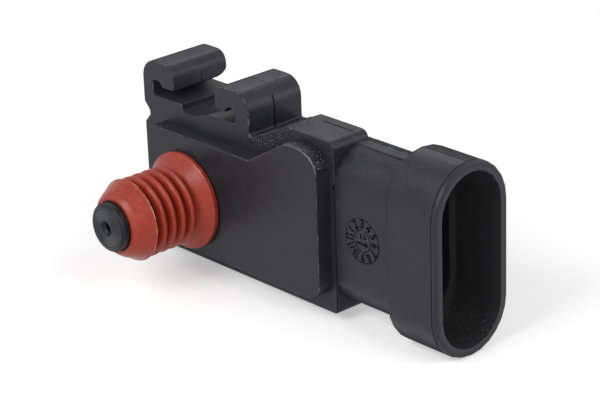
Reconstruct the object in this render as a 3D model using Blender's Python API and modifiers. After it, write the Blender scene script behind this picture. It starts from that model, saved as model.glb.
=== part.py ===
"""Manifold absolute pressure sensor with a ribbed port seal, bracket hooks and a three-way connector.

The datum is the bottom left corner of the housing on its front face: X runs towards the
connector, Y towards the rear cover and Z up to the bracket hooks. An empty then sets the
middle of the whole part's underside on the world origin.
"""
import math

import bmesh
import bpy
from mathutils import Matrix

mm = 0.001

# Clearances
seat_gap = 0.3 * mm
overlap = 0.4 * mm
past = 2.0 * mm

# Housing block
body_height = 26.5 * mm
body_depth = 11.55 * mm
body_corner = 0.8 * mm
body_edge = 0.3 * mm
top_corner = 1.3 * mm
plateau_depth = 6.9 * mm
plateau_length = 9.7 * mm
slope_run = 7.4 * mm
slope_foot = 0.75 * mm
slope_drop = 3.55 * mm
slope_corner = 0.3 * mm
round_lead = 0.2 * mm
notch_fall = 3.2 * mm
notch_depth = 1.15 * mm
notch_half = 1.6 * mm
notch_flat = 0.32 * mm
notch_corner = 0.5 * mm

# Raised pad on the front face
pad_depth = 2.5 * mm
pad_left = 3.35 * mm
pad_right_margin = 1.1 * mm
pad_bottom = 2.35 * mm
pad_left_fall = 3.57 * mm
pad_right_fall = 1.35 * mm
pad_top_fall = 0.2 * mm
pad_ledge_lag = 1.55 * mm
pad_shoulder_lag = 2.15 * mm
pad_big_corner = 3.5 * mm
pad_low_corner = 2.8 * mm
pad_left_corner = 2.0 * mm
pad_edge = 0.45 * mm

# Bracket hooks along the top
hook_depth = 10.57 * mm
floor_drop = 2.4 * mm
floor_step = 1.15 * mm
left_floor_end = 8.9 * mm
low_floor_length = 2.8 * mm
ramp_length = 3.7 * mm
right_floor_length = 1.1 * mm
hook_rise = 5.35 * mm
right_hook_drop = 0.3 * mm
lip_gap = 1.5 * mm
pocket_rise = 0.85 * mm
pocket_length = 2.1 * mm
pocket_slant = 0.63 * mm
left_hook_wall = 2.35 * mm
left_hook_length = 7.2 * mm
right_hook_length = 7.35 * mm
right_hook_wall = 3.0 * mm
hook_lip_radius = 2.6 * mm
hook_wall_radius = 2.8 * mm
lip_corner = 0.35 * mm

# Connector neck and shroud, upright ovals about the connector axis
neck_width = 11.75 * mm
neck_top_step = 1.15 * mm
neck_bottom_step = 0.85 * mm
neck_length = 11.5 * mm
shroud_width = 14.4 * mm
shroud_step = 2.25 * mm
shroud_length = 9.5 * mm
shroud_wall = 1.35 * mm
neck_wall = 1.35 * mm
shoulder_wall = 0.9 * mm
shroud_edge = 0.5 * mm
neck_cavity_depth = 10.6 * mm
lock_width = 5.0 * mm
lock_length = 3.6 * mm
lock_rise = 1.5 * mm
lock_setback = 2.4 * mm
lock_edge = 0.2 * mm

# Pressure port
port_x = 12.0 * mm
port_height = 10.5 * mm
nipple_reach = 15.5 * mm
nipple_radius = 3.75 * mm
nipple_edge = 0.65 * mm
nipple_cone = 0.2 * mm
nipple_edge_sweep = 80
port_bore = 2.5 * mm

# Ribbed seal on the port, distances out from the pad face
seal_flange_radius = 7.5 * mm
seal_flange_edge = 0.6 * mm
seal_flange_round = 0.1 * mm
seal_cone_end = 3.1 * mm
seal_cone_foot = 0.6 * mm
seal_cone_rise = 0.9 * mm
seal_root_radius = 5.2 * mm
seal_rib_radius = 6.1 * mm
seal_rib_first = 4.4 * mm
seal_rib_pitch = 1.78 * mm
seal_rib_count = 4
seal_rib_fill = 0.86
seal_rib_steps = 6
seal_nose_radius = 6.2 * mm
seal_nose_round = 0.15 * mm
seal_nose_groove = 0.25 * mm
seal_nose_back = 10.85 * mm
seal_nose_length = 2.45 * mm
seal_front_radius = 4.9 * mm
seal_lip_radius = 4.3 * mm
seal_lip_length = 0.6 * mm

# Chamber behind the pad, with a step for the board and a rebate for the cover
front_wall = 3.0 * mm
side_wall = 2.2 * mm
connector_wall = 2.8 * mm
top_wall = 5.8 * mm
board_step_width = 1.6 * mm
board_step_depth = 5.9 * mm
chamber_corner = 1.2 * mm
cover_lip = 1.1 * mm
cover_thickness = 1.2 * mm
cover_bead_width = 0.8 * mm
cover_bead_height = 0.4 * mm
cover_edge = 0.15 * mm

# Board and what is on it
board_end_margin = 4.6 * mm
board_thickness = 0.8 * mm
board_bead_height = 0.3 * mm
board_bead_width = 0.9 * mm
board_bead_inset = 0.1 * mm
board_corner_least = 0.3 * mm
cup_radius = 3.3 * mm
cup_wall = 0.7 * mm
cup_height = 2.0 * mm
cell_seal_height = 0.6 * mm
pedestal_size = 2.2 * mm
pedestal_height = 0.8 * mm
die_size = 1.7 * mm
die_height = 0.4 * mm
chip_size = 5.2 * mm
chip_height = 1.2 * mm
chip_x = 16.5 * mm
capacitor_length = 2.0 * mm
capacitor_width = 1.25 * mm
capacitor_height = 0.9 * mm
capacitor_x = 22.6 * mm
capacitor_pitch = 3.2 * mm
resistor_length = 1.6 * mm
resistor_width = 0.8 * mm
resistor_height = 0.5 * mm
resistor_x = 8.4 * mm
component_count = 4
component_edge = 0.08 * mm

# Blade terminals and their straps
blade_count = 3
blade_end_margin = 5.1 * mm
blade_width = 1.5 * mm
blade_thickness = 0.64 * mm
blade_reach = 8.0 * mm
blade_inside = 3.4 * mm
blade_taper = 0.35 * mm
strap_width = 0.8 * mm
strap_thickness = 0.25 * mm
strap_landing = 1.2 * mm
strap_setback = 0.35 * mm

# Facets
arc_steps = 6
oval_steps = 12
turn_steps = 48

# Places worked out from the sizes above
right_hook_start = left_floor_end + low_floor_length + ramp_length + right_floor_length
slope_start = right_hook_start + right_hook_length + slope_foot
slope_end = slope_start + slope_run
body_length = slope_end + plateau_length
floor_height = body_height - floor_drop
notch_height = floor_height - notch_fall
front_y = pad_depth
back_y = pad_depth + body_depth
axis_y = pad_depth + body_depth / 2
neck_height = body_height - neck_top_step - neck_bottom_step
axis_height = neck_bottom_step + neck_height / 2
shroud_height = neck_height + 2 * shroud_step
shroud_start = body_length + neck_length
mouth_x = shroud_start + shroud_length
chamber_left = side_wall
chamber_right = body_length - connector_wall
chamber_bottom = side_wall
chamber_top = body_height - top_wall
cover_ledge_y = back_y - cover_thickness - cover_bead_height - 2 * seat_gap
board_front_y = board_step_depth + board_bead_height + 2 * seat_gap
board_back_y = board_front_y + board_thickness
neck_floor_x = shroud_start + shoulder_wall - neck_cavity_depth
blade_pitch = (neck_height - 2 * neck_wall - 2 * blade_end_margin) / (blade_count - 1)
shroud_low = axis_height - shroud_height / 2


def clear_scene():
    """Empty the scene and return one collection for the parts and one for the cutters."""
    for thing in list(bpy.data.objects):
        bpy.data.objects.remove(thing, do_unlink=True)
    parts = bpy.data.collections.new("pressure_sensor")
    cutters = bpy.data.collections.new("cutters")
    for group in (parts, cutters):
        bpy.context.scene.collection.children.link(group)
    return parts, cutters


parts_group, cutters_group = clear_scene()


def make_datum():
    """The empty that carries every piece and puts the part on the world origin."""
    datum = bpy.data.objects.new("sensor_datum", None)
    low_y = -nipple_reach
    high_y = max(back_y, axis_y + shroud_width / 2 + lock_rise)
    low_z = min(0.0, shroud_low)
    datum.location = (-mouth_x / 2, -(low_y + high_y) / 2, -low_z)
    parts_group.objects.link(datum)
    return datum


datum = make_datum()


def material(name, colour, roughness, metallic=0.0):
    """A Principled material of the piece's own."""
    made = bpy.data.materials.new(name)
    made.use_nodes = True
    shader = made.node_tree.nodes["Principled BSDF"]
    shader.inputs["Base Color"].default_value = (*colour, 1.0)
    shader.inputs["Roughness"].default_value = roughness
    shader.inputs["Metallic"].default_value = metallic
    return made


finishes = {
    "black_plastic": ((0.035, 0.035, 0.04), 0.45, 0.0),
    "cover_plastic": ((0.03, 0.03, 0.034), 0.5, 0.0),
    "red_silicone": ((0.46, 0.055, 0.03), 0.5, 0.0),
    "tinned_brass": ((0.75, 0.72, 0.64), 0.3, 1.0),
    "aluminium": ((0.8, 0.8, 0.8), 0.3, 1.0),
    "alumina": ((0.85, 0.84, 0.8), 0.6, 0.0),
    "clear_silicone": ((0.7, 0.72, 0.74), 0.35, 0.0),
    "grey_adhesive": ((0.35, 0.36, 0.37), 0.55, 0.0),
    "silicon": ((0.25, 0.26, 0.32), 0.15, 0.6),
    "glass": ((0.75, 0.82, 0.8), 0.1, 0.0),
    "epoxy_black": ((0.02, 0.02, 0.02), 0.4, 0.0),
    "capacitor_tan": ((0.45, 0.32, 0.2), 0.4, 0.0),
    "steel_ring": ((0.6, 0.6, 0.62), 0.3, 1.0),
}


def finish_part(thing, finish):
    """Give a piece its own material and smooth round faces."""
    colour, roughness, metallic = finishes[finish]
    thing.data.materials.clear()
    thing.data.materials.append(material(thing.name, colour, roughness, metallic))
    thing.data.shade_smooth()
    thing.data.set_sharp_from_angle(angle=math.radians(32))
    return thing


def place(thing, group, matrix=None):
    """Link an object to its collection and hang it on the datum."""
    group.objects.link(thing)
    thing.parent = datum
    thing.matrix_basis = matrix or Matrix.Identity(4)
    if group is cutters_group:
        thing.hide_render = True
        thing.display_type = "WIRE"
    return thing


def arc(centre, radius, start, end, steps):
    """Points along an arc, angles in degrees."""
    points = []
    for k in range(steps + 1):
        angle = math.radians(start + (end - start) * k / steps)
        points.append((centre[0] + radius * math.cos(angle), centre[1] + radius * math.sin(angle)))
    return points


def rounded(corners, steps=arc_steps):
    """Turn corners (u, v, radius) into an outline whose corners are arcs."""
    outline = []
    count = len(corners)
    for k, (u, v, radius) in enumerate(corners):
        before = corners[k - 1]
        after = corners[(k + 1) % count]
        into = (before[0] - u, before[1] - v)
        out = (after[0] - u, after[1] - v)
        into_length = math.hypot(*into)
        out_length = math.hypot(*out)
        cosine = (into[0] * out[0] + into[1] * out[1]) / (into_length * out_length)
        half = math.acos(max(-1.0, min(1.0, cosine))) / 2
        radius = min(radius, 0.49 * min(into_length, out_length) * math.tan(half))
        if radius < 0.02 * mm:
            outline.append((u, v))
            continue
        setback = radius / math.tan(half)
        first = (u + into[0] / into_length * setback, v + into[1] / into_length * setback)
        last = (u + out[0] / out_length * setback, v + out[1] / out_length * setback)
        middle = ((first[0] + last[0]) / 2 - u, (first[1] + last[1]) / 2 - v)
        reach = radius / math.sin(half) / math.hypot(*middle)
        centre = (u + middle[0] * reach, v + middle[1] * reach)
        start = math.atan2(first[1] - centre[1], first[0] - centre[0])
        sweep = math.atan2(last[1] - centre[1], last[0] - centre[0]) - start
        sweep = (sweep + math.pi) % (2 * math.pi) - math.pi
        for j in range(steps + 1):
            angle = start + sweep * j / steps
            outline.append((centre[0] + radius * math.cos(angle), centre[1] + radius * math.sin(angle)))
    return outline


def oval(width, height):
    """An upright oval with round ends about the connector axis, in Y and Z."""
    radius = width / 2
    rise = height / 2 - radius
    upper = arc((axis_y, axis_height + rise), radius, 0, 180, oval_steps)
    lower = arc((axis_y, axis_height - rise), radius, 180, 360, oval_steps)
    return upper + lower


along_y = Matrix.Rotation(math.radians(90), 4, "X")
along_x = Matrix.Rotation(math.radians(90), 4, "Z") @ Matrix.Rotation(math.radians(90), 4, "X")


def slab(name, outline, start, end, direction, group):
    """A flat outline given thickness from start to end along X, Y or Z, as a closed mesh."""
    curve = bpy.data.curves.new(name, "CURVE")
    curve.dimensions = "2D"
    curve.fill_mode = "BOTH"
    curve.extrude = (end - start) / 2
    spline = curve.splines.new("POLY")
    spline.points.add(len(outline) - 1)
    for point, (u, v) in zip(spline.points, outline):
        point.co = (u, v, 0.0, 1.0)
    spline.use_cyclic_u = True
    drawn = bpy.data.objects.new(name + "_outline", curve)
    middle = (start + end) / 2
    turns = {"X": along_x, "Y": along_y, "Z": Matrix.Identity(4)}
    shifts = {"X": (middle, 0, 0), "Y": (0, middle, 0), "Z": (0, 0, middle)}
    cutters_group.objects.link(drawn)
    evaluated = drawn.evaluated_get(bpy.context.evaluated_depsgraph_get())
    mesh = bpy.data.meshes.new_from_object(evaluated)
    bpy.data.objects.remove(drawn, do_unlink=True)
    mesh.name = name
    tidy = bmesh.new()
    tidy.from_mesh(mesh)
    bmesh.ops.remove_doubles(tidy, verts=tidy.verts, dist=0.001 * mm)
    bmesh.ops.dissolve_limit(tidy, angle_limit=math.radians(0.5), verts=tidy.verts, edges=tidy.edges)
    bmesh.ops.recalc_face_normals(tidy, faces=tidy.faces)
    tidy.to_mesh(mesh)
    tidy.free()
    solid = bpy.data.objects.new(name, mesh)
    return place(solid, group, Matrix.Translation(shifts[direction]) @ turns[direction])


def turned(name, profile, group, steps=turn_steps):
    """Turn a closed profile of (radius, distance out from the pad) about the port axis."""
    mesh = bpy.data.meshes.new(name)
    edges = [(k, k + 1) for k in range(len(profile) - 1)]
    if profile[0][0] > 0 and profile[-1][0] > 0:
        edges.append((len(profile) - 1, 0))
    mesh.from_pydata([(radius, 0.0, out) for radius, out in profile], edges, [])
    solid = bpy.data.objects.new(name, mesh)
    screw = solid.modifiers.new("turn", "SCREW")
    screw.steps = steps
    screw.render_steps = steps
    screw.use_merge_vertices = True
    screw.merge_threshold = 0.001 * mm
    return place(solid, group, Matrix.Translation((port_x, 0, port_height)) @ along_y)


def block(name, low, high, group):
    """A box between two corners."""
    size = [b - a for a, b in zip(low, high)]
    mesh = bpy.data.meshes.new(name)
    shape = bmesh.new()
    bmesh.ops.create_cube(shape, size=1.0)
    bmesh.ops.scale(shape, vec=size, verts=shape.verts)
    shape.to_mesh(mesh)
    shape.free()
    middle = [(a + b) / 2 for a, b in zip(low, high)]
    return place(bpy.data.objects.new(name, mesh), group, Matrix.Translation(middle))


def round_edges(thing, width, segments=2):
    """Round the sharp edges of a solid."""
    bevel = thing.modifiers.new("edges", "BEVEL")
    bevel.width = width
    bevel.segments = segments
    bevel.limit_method = "ANGLE"
    bevel.angle_limit = math.radians(50)
    bevel.harden_normals = False
    return thing


def join(thing, other):
    """Add a solid to a piece."""
    union = thing.modifiers.new("add " + other.name, "BOOLEAN")
    union.operation = "UNION"
    union.solver = "EXACT"
    union.object = other


def cut(thing, cutter):
    """Take a cutter out of a piece."""
    away = thing.modifiers.new("cut " + cutter.name, "BOOLEAN")
    away.operation = "DIFFERENCE"
    away.solver = "EXACT"
    away.object = cutter


def hook_outline():
    """The top of the front outline, from the slope's foot leftwards over both hooks to the notch."""
    lip_bottom = floor_height + lip_gap
    pocket_top = lip_bottom + pocket_rise
    right_end = right_hook_start + right_hook_length
    right_top = floor_height + hook_rise - right_hook_drop
    right_lip_bottom = lip_bottom - right_hook_drop
    right_pocket_end = right_end - right_hook_wall
    left_top = floor_height + hook_rise
    slope_height = body_height - slope_drop
    low_floor = floor_height - floor_step
    ramp_start = left_floor_end + low_floor_length
    return [
        (slope_start, slope_height, slope_corner),
        (right_end, slope_height, slope_corner),
        (right_end, right_top, hook_wall_radius),
        (right_hook_start, right_top, hook_lip_radius),
        (right_hook_start, right_lip_bottom, lip_corner),
        (right_pocket_end - pocket_length, right_lip_bottom, lip_corner),
        (right_pocket_end - pocket_length + pocket_slant, pocket_top - right_hook_drop, 2 * lip_corner),
        (right_pocket_end, pocket_top - right_hook_drop, 2 * lip_corner),
        (right_pocket_end, floor_height, lip_corner),
        (ramp_start + ramp_length, floor_height, 2 * lip_corner),
        (ramp_start, low_floor, 2 * lip_corner),
        (left_floor_end, low_floor, 0.0),
        (left_floor_end, floor_height, 0.0),
        (left_hook_wall, floor_height, lip_corner),
        (left_hook_wall, pocket_top, 2 * lip_corner),
        (left_hook_wall + pocket_length - pocket_slant, pocket_top, 2 * lip_corner),
        (left_hook_wall + pocket_length, lip_bottom, lip_corner),
        (left_hook_length, lip_bottom, lip_corner),
        (left_hook_length, left_top, hook_lip_radius),
        (0.0, left_top, hook_wall_radius),
        (0.0, notch_height + notch_half, notch_corner),
        (notch_depth, notch_height + notch_flat, notch_corner),
        (notch_depth, notch_height - notch_flat, notch_corner),
        (0.0, notch_height - notch_half, notch_corner),
    ]


def body_outline():
    """The whole front outline of the housing block, in X and Z."""
    return [
        (0.0, 0.0, body_corner),
        (body_length, 0.0, body_corner),
        (body_length, body_height, top_corner),
        (slope_end, body_height, 2 * lip_corner),
    ] + hook_outline()


def pad_outline():
    """The raised pad: a low ledge under the hooks, a slope and a round shoulder by the connector."""
    right = body_length - pad_right_margin
    left_top = floor_height - pad_left_fall
    right_top = body_height - pad_right_fall
    return [
        (pad_left, pad_bottom, pad_left_corner),
        (right, pad_bottom, pad_low_corner),
        (right, right_top - pad_top_fall, pad_big_corner),
        (slope_end + pad_shoulder_lag, right_top, 3 * lip_corner),
        (slope_start + pad_ledge_lag, left_top, lip_corner),
        (pad_left, left_top, pad_left_corner),
    ]


def make_housing():
    """The one-piece moulding: block, pad, hooks, neck, shroud and port nipple, then its hollows."""
    housing = slab("housing", rounded(body_outline()), front_y, back_y, "Y", parts_group)
    round_edges(housing, body_edge)

    foot_middle = slope_start - slope_foot / 2
    hook_back = block("hook_back", (-past, front_y + hook_depth, notch_height + notch_half),
                      (foot_middle, back_y + past, body_height + 2 * hook_rise), cutters_group)
    cut(housing, hook_back)

    round_radius = body_depth / 2
    round_centre = (axis_y, axis_height + neck_height / 2 - round_radius)
    plateau_back = front_y + plateau_depth
    plateau_angle = math.degrees(math.acos((plateau_back - axis_y) / round_radius))
    shoulder = [(plateau_back, body_height + past), (back_y + past, body_height + past),
                (back_y + past, round_centre[1])]
    shoulder += arc(round_centre, round_radius, 0, plateau_angle, oval_steps)
    back_round = slab("back_round", shoulder, foot_middle - round_lead, body_length + past, "X",
                      cutters_group)
    cut(housing, back_round)

    pad = slab("pad", rounded(pad_outline()), 0.0, front_y + overlap, "Y", cutters_group)
    join(housing, round_edges(pad, pad_edge))

    neck = slab("neck", oval(neck_width, neck_height), body_length - overlap, shroud_start + overlap,
                "X", cutters_group)
    join(housing, neck)
    shroud = slab("shroud", oval(shroud_width, shroud_height), shroud_start, mouth_x, "X", cutters_group)
    join(housing, round_edges(shroud, shroud_edge))

    lock_back = mouth_x - lock_setback - lock_length
    lock_face = axis_y + shroud_width / 2
    lock_ramp = [(lock_back, lock_face - overlap), (mouth_x - lock_setback, lock_face - overlap),
                 (mouth_x - lock_setback, lock_face), (lock_back, lock_face + lock_rise)]
    lock = slab("lock_ramp", lock_ramp, axis_height - lock_width / 2, axis_height + lock_width / 2,
                "Z", cutters_group)
    join(housing, round_edges(lock, lock_edge, 1))

    nipple = [(0.0, nipple_reach), (port_bore / 2, nipple_reach),
              (nipple_radius - nipple_edge, nipple_reach - nipple_cone)]
    edge_centre = (nipple_radius - nipple_edge, nipple_reach - nipple_cone - nipple_edge)
    nipple += arc(edge_centre, nipple_edge, nipple_edge_sweep, 0, 4)
    nipple += [(nipple_radius, -overlap), (0.0, -overlap)]
    join(housing, turned("nipple", nipple, cutters_group))

    mouth = slab("mouth", oval(shroud_width - 2 * shroud_wall, shroud_height - 2 * shroud_wall),
                 shroud_start + shoulder_wall, mouth_x + past, "X", cutters_group)
    cut(housing, mouth)
    neck_hollow = slab("neck_hollow", oval(neck_width - 2 * neck_wall, neck_height - 2 * neck_wall),
                       neck_floor_x, mouth_x + past, "X", cutters_group)
    cut(housing, neck_hollow)

    wide = rounded(chamber_corners(0.0, chamber_corner), 3)
    cut(housing, slab("chamber", wide, board_step_depth, back_y + past, "Y", cutters_group))
    narrow = rounded(chamber_corners(board_step_width, chamber_corner), 3)
    cut(housing, slab("chamber_well", narrow, front_wall, back_y + past, "Y", cutters_group))
    rebate = rounded(cover_corners(0.0), 3)
    cut(housing, slab("cover_rebate", rebate, cover_ledge_y, back_y + past, "Y", cutters_group))

    bore = [(0.0, nipple_reach + past), (port_bore / 2, nipple_reach + past),
            (port_bore / 2, -front_wall - past), (0.0, -front_wall - past)]
    cut(housing, turned("bore", bore, cutters_group, 24))

    for k, height in enumerate(blade_heights()):
        slot_half = blade_width / 2 + seat_gap
        slot = block(f"blade_slot_{k + 1}",
                     (chamber_right - past, axis_y - blade_thickness / 2 - seat_gap, height - slot_half),
                     (neck_floor_x + past, axis_y + blade_thickness / 2 + seat_gap, height + slot_half),
                     cutters_group)
        cut(housing, slot)
    return finish_part(housing, "black_plastic")


def chamber_corners(inset, corner):
    """The chamber's rectangle in X and Z, moved in by inset."""
    return [(chamber_left + inset, chamber_bottom + inset, corner),
            (chamber_right - inset, chamber_bottom + inset, corner),
            (chamber_right - inset, chamber_top - inset, corner),
            (chamber_left + inset, chamber_top - inset, corner)]


def cover_corners(inset):
    """The cover's rebate in X and Z, moved in by inset."""
    return chamber_corners(inset - cover_lip, chamber_corner + cover_lip - inset)


def blade_heights():
    """Heights of the terminals, evenly about the connector axis."""
    return [axis_height + (k - (blade_count - 1) / 2) * blade_pitch for k in range(blade_count)]


def seal_profile():
    """Outer side from the nose to the flange, then back along the bore."""
    bore_radius = nipple_radius + seat_gap
    nose_front = seal_nose_back + seal_nose_length
    lip_front = nose_front + seal_lip_length
    profile = [(seal_lip_radius, lip_front), (seal_front_radius, nose_front),
               (seal_nose_radius - seal_nose_round, seal_nose_back + seal_nose_round),
               (seal_nose_radius, seal_nose_back),
               (seal_nose_radius - seal_nose_round, seal_nose_back - seal_nose_round),
               (seal_root_radius, seal_nose_back - seal_nose_groove)]
    half = seal_rib_pitch / 2
    for k in reversed(range(seal_rib_count)):
        crest = seal_rib_first + k * seal_rib_pitch
        for j in range(seal_rib_steps + 1):
            angle = math.pi * j / seal_rib_steps
            swell = math.sin(angle) ** 0.8
            radius = seal_root_radius + (seal_rib_radius - seal_root_radius) * swell
            profile.append((radius, crest + seal_rib_fill * half * math.cos(angle)))
    profile += [(seal_root_radius, seal_cone_end),
                (seal_root_radius + seal_cone_rise, seal_cone_end - seal_cone_foot),
                (seal_flange_radius - seal_flange_round, seat_gap + seal_flange_edge),
                (seal_flange_radius, seat_gap + seal_flange_edge - seal_flange_round),
                (seal_flange_radius, seat_gap), (bore_radius, seat_gap), (bore_radius, lip_front)]
    return profile


def make_port_seal():
    """The soft red sleeve on the nipple, with its nose, ribs and flange."""
    return finish_part(turned("port_seal", seal_profile(), parts_group), "red_silicone")


def make_rear_cover():
    """The lid glued into the rebate, and the bead of adhesive under it."""
    outer = rounded(cover_corners(seat_gap), 3)
    lid = slab("rear_cover", outer, back_y - cover_thickness, back_y, "Y", parts_group)
    round_edges(lid, cover_edge, 1)
    finish_part(lid, "cover_plastic")
    inner = rounded(cover_corners(seat_gap + cover_bead_width), 3)
    bead_start = cover_ledge_y + seat_gap
    bead = slab("cover_adhesive", outer, bead_start, bead_start + cover_bead_height, "Y", parts_group)
    cut(bead, slab("cover_bead_inside", inner, bead_start - past, bead_start + past, "Y", cutters_group))
    finish_part(bead, "grey_adhesive")


def board_corners(inset):
    """The board's rectangle in X and Z, moved in by inset."""
    left = chamber_left + seat_gap + inset
    right = chamber_right - board_end_margin - inset
    low = chamber_bottom + seat_gap + inset
    high = chamber_top - seat_gap - inset
    corner = max(chamber_corner - inset, board_corner_least)
    return [(left, low, corner), (right, low, corner), (right, high, corner), (left, high, corner)]


def make_board():
    """The ceramic board on its step, with the bead that bonds its two long edges and its left end."""
    outline = rounded(board_corners(0.0), 3)
    board = slab("circuit_board", outline, board_front_y, board_back_y, "Y", parts_group)
    finish_part(board, "alumina")
    bead_y = board_step_depth + seat_gap
    outer = rounded(board_corners(board_bead_inset), 3)
    inner = rounded(board_corners(board_bead_inset + board_bead_width), 3)
    bead = slab("board_adhesive", outer, bead_y, bead_y + board_bead_height, "Y", parts_group)
    cut(bead, slab("board_bead_inside", inner, bead_y - past, bead_y + past, "Y", cutters_group))
    finish_part(bead, "grey_adhesive")


def make_ring(name, outer, inner, near, far, finish):
    """A ring about the port axis behind the pad face, between two depths."""
    profile = [(outer, -near), (outer, -far), (inner, -far), (inner, -near)]
    return finish_part(turned(name, profile, parts_group, 32), finish)


def make_cell():
    """The sensing cell facing the port bore: cup, its seal, glass pedestal, die and gel."""
    cup_back = board_front_y - seat_gap
    cup_front = max(cup_back - cup_height, front_wall + 2 * seat_gap + cell_seal_height)
    inner = cup_radius - cup_wall
    make_ring("cell_cup", cup_radius, inner, cup_front, cup_back, "steel_ring")
    make_ring("cell_seal", cup_radius, inner, front_wall + seat_gap, cup_front - seat_gap, "clear_silicone")
    half = pedestal_size / 2
    pedestal = block("glass_pedestal", (port_x - half, cup_back - pedestal_height, port_height - half),
                     (port_x + half, cup_back, port_height + half), parts_group)
    finish_part(pedestal, "glass")
    half = die_size / 2
    die_back = cup_back - pedestal_height - seat_gap
    die = block("pressure_die", (port_x - half, die_back - die_height, port_height - half),
                (port_x + half, die_back, port_height + half), parts_group)
    finish_part(die, "silicon")
    gel_inner = half * math.sqrt(2) + seat_gap
    make_ring("protective_gel", inner - seat_gap, gel_inner, die_back - die_height, die_back,
              "clear_silicone")


def chip(name, x, height, length, width, thickness, finish):
    """A component that lies on the back of the board."""
    low = (x - length / 2, board_back_y + seat_gap, height - width / 2)
    high = (x + length / 2, board_back_y + seat_gap + thickness, height + width / 2)
    piece = block(name, low, high, parts_group)
    round_edges(piece, component_edge, 1)
    return finish_part(piece, finish)


def make_components():
    """The signal chip, with a column of capacitors on its right and of resistors on its left."""
    middle = (chamber_bottom + chamber_top) / 2
    chip("signal_chip", chip_x, middle, chip_size, chip_size, chip_height, "epoxy_black")
    for k in range(component_count):
        height = middle + (k - (component_count - 1) / 2) * capacitor_pitch
        chip(f"capacitor_{k + 1}", capacitor_x, height, capacitor_length, capacitor_width,
             capacitor_height, "capacitor_tan")
        chip(f"resistor_{k + 1}", resistor_x, height, resistor_length, resistor_width,
             resistor_height, "epoxy_black")


def make_terminals():
    """Three blades from the chamber through the wall into the neck, each with a strap to the board."""
    inner_end = chamber_right - blade_inside
    tip = neck_floor_x + blade_reach
    strap_left = chamber_right - board_end_margin - strap_landing
    low_y = board_back_y + seat_gap
    high_y = axis_y + blade_thickness / 2 + seat_gap
    for k, height in enumerate(blade_heights()):
        half = blade_width / 2
        outline = [(inner_end, height - half), (tip - 2 * blade_taper, height - half),
                   (tip, height - half + blade_taper), (tip, height + half - blade_taper),
                   (tip - 2 * blade_taper, height + half), (inner_end, height + half)]
        blade = slab(f"blade_terminal_{k + 1}", outline, axis_y - blade_thickness / 2,
                     axis_y + blade_thickness / 2, "Y", parts_group)
        round_edges(blade, component_edge, 1)
        finish_part(blade, "tinned_brass")
        bend = inner_end - strap_setback
        over = inner_end + strap_landing
        strap = [(strap_left, low_y), (bend, low_y), (bend, high_y), (over, high_y),
                 (over, high_y + strap_thickness), (bend - strap_thickness, high_y + strap_thickness),
                 (bend - strap_thickness, low_y + strap_thickness), (strap_left, low_y + strap_thickness)]
        link = slab(f"terminal_strap_{k + 1}", strap, height - strap_width / 2, height + strap_width / 2,
                    "Z", parts_group)
        finish_part(link, "aluminium")


make_housing()
make_port_seal()
make_rear_cover()
make_board()
make_cell()
make_components()
make_terminals()
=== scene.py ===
import math

import bmesh
import bpy
from mathutils import Matrix, Vector


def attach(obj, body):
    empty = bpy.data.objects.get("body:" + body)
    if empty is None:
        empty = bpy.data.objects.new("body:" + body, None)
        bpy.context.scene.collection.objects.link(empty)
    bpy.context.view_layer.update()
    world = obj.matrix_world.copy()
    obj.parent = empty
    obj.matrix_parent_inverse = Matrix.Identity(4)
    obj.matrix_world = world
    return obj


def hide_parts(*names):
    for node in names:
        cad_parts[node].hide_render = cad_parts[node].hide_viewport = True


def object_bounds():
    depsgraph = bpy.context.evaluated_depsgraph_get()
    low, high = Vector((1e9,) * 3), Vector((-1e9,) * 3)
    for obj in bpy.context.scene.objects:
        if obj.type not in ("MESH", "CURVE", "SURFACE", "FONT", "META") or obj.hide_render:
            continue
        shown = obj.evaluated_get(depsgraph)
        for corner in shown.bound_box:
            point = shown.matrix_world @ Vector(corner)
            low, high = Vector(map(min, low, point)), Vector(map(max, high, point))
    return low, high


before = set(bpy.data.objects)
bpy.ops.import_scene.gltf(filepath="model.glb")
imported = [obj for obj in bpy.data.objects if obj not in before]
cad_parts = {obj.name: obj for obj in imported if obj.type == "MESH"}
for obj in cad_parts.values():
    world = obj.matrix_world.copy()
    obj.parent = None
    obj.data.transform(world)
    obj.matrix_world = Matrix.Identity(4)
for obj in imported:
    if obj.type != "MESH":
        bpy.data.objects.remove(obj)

cadLow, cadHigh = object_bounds()
mm = 0.001

# Where the part's own datum lies in the frame: housing left end, pad face, housing underside
datum = {
    "portReach": 15.5 * mm,
    "shroudDrop": 1.4 * mm,
}
origin = Vector((cadLow.x, cadLow.y + datum["portReach"], cadLow.z + datum["shroudDrop"]))

port = {"x": 12.0 * mm, "z": 10.5 * mm}
portAxis = origin + Vector((port["x"], 0.0, port["z"]))


# Small helpers for node trees

def addNode(tree, kind, **values):
    node = tree.nodes.new(kind)
    for name, value in values.items():
        setattr(node, name, value)
    return node


def feed(tree, source, target):
    tree.links.new(source, target)


def give(tree, socket, value):
    # An output is linked to the socket, a number or a colour is set on it
    if isinstance(value, bpy.types.NodeSocket):
        feed(tree, value, socket)
    elif isinstance(value, tuple):
        socket.default_value = (*value, 1.0)
    else:
        socket.default_value = value


def mathNode(tree, operation, *values, clamp=False):
    node = addNode(tree, "ShaderNodeMath", operation=operation, use_clamp=clamp)
    for socket, value in zip(node.inputs, values):
        give(tree, socket, value)
    return node.outputs[0]


def times(tree, first, *others):
    for value in others:
        first = mathNode(tree, "MULTIPLY", first, value)
    return first


def largest(tree, first, *others):
    for value in others:
        first = mathNode(tree, "MAXIMUM", first, value)
    return first


def below(tree, value, limit):
    return mathNode(tree, "LESS_THAN", value, limit)


def above(tree, value, limit):
    return mathNode(tree, "GREATER_THAN", value, limit)


def between(tree, value, low, high):
    return times(tree, above(tree, value, low), below(tree, value, high))


def lengthOf(tree, first, second):
    squares = mathNode(tree, "ADD", times(tree, first, first), times(tree, second, second))
    return mathNode(tree, "SQRT", squares)


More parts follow.
